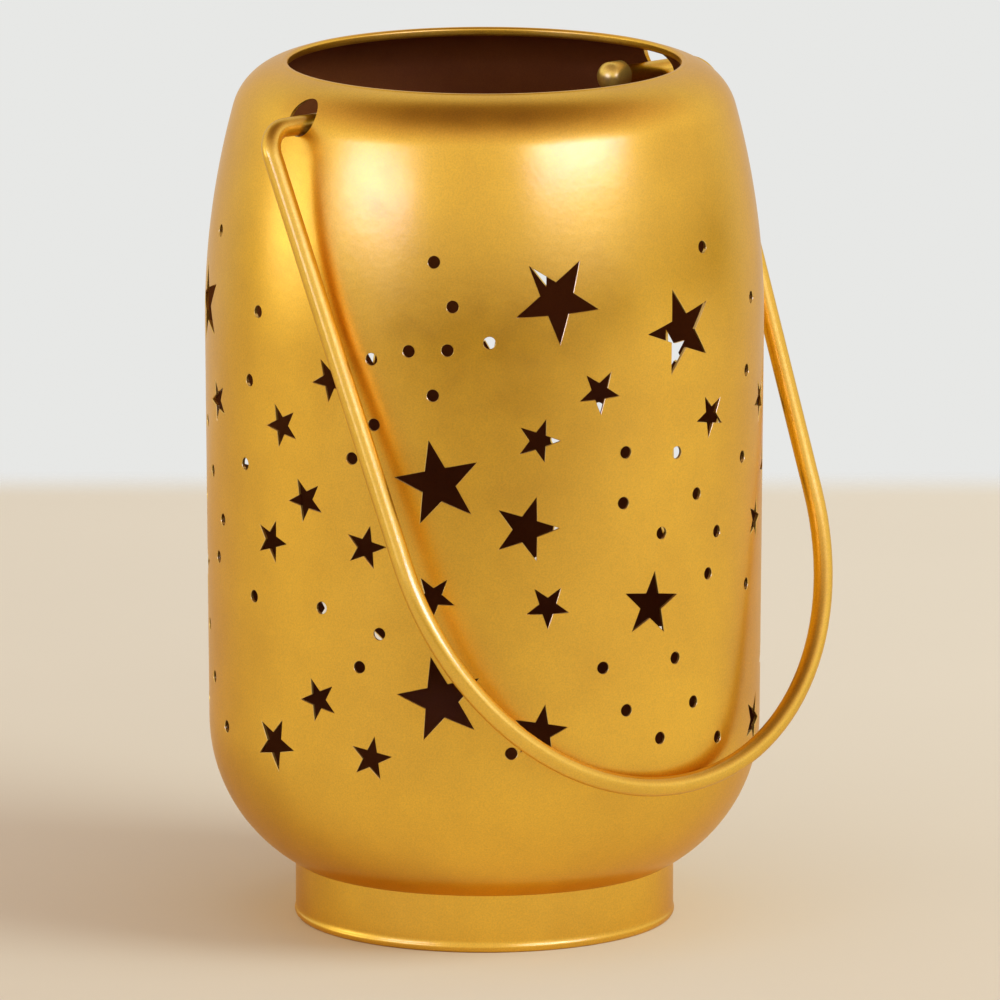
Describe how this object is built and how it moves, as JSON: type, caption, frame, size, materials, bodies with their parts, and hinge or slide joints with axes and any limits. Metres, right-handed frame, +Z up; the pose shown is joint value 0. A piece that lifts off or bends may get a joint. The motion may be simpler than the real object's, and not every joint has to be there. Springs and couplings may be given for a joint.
{
  "type": "punched tin lantern",
  "caption": "Round gold painted sheet metal candle lantern with a wall of punched stars and dots, an open mouth, a foot ring and a swinging wire bail.",
  "frame": {"origin": "centre of the circle that the foot ring stands on", "axes": "+Z up through the mouth; the bail's hinge runs along X; the bail hangs on the -Y side at rest"},
  "size_m": [0.121, 0.1131, 0.171],
  "materials": {
    "painted_sheet": "satin gold paint outside, dark bronze brown inside",
    "painted_wire": "satin gold paint",
    "painted_cap": "satin gold paint"
  },
  "bodies": {
    "lantern": {"shoulder": "painted_sheet", "punched_wall": "painted_sheet", "bowl": "painted_sheet", "foot_ring": "painted_sheet"},
    "bail": {"bail": "painted_wire", "bail_cap_left": "painted_cap", "bail_cap_right": "painted_cap"}
  },
  "joints": [
    {"name": "bail_swing", "type": "hinge", "parent": "lantern", "child": "bail", "pos_m": [0, 0, 0.16376], "axis": [-1, 0, 0], "range_deg": [0, 312.9]}
  ]
}
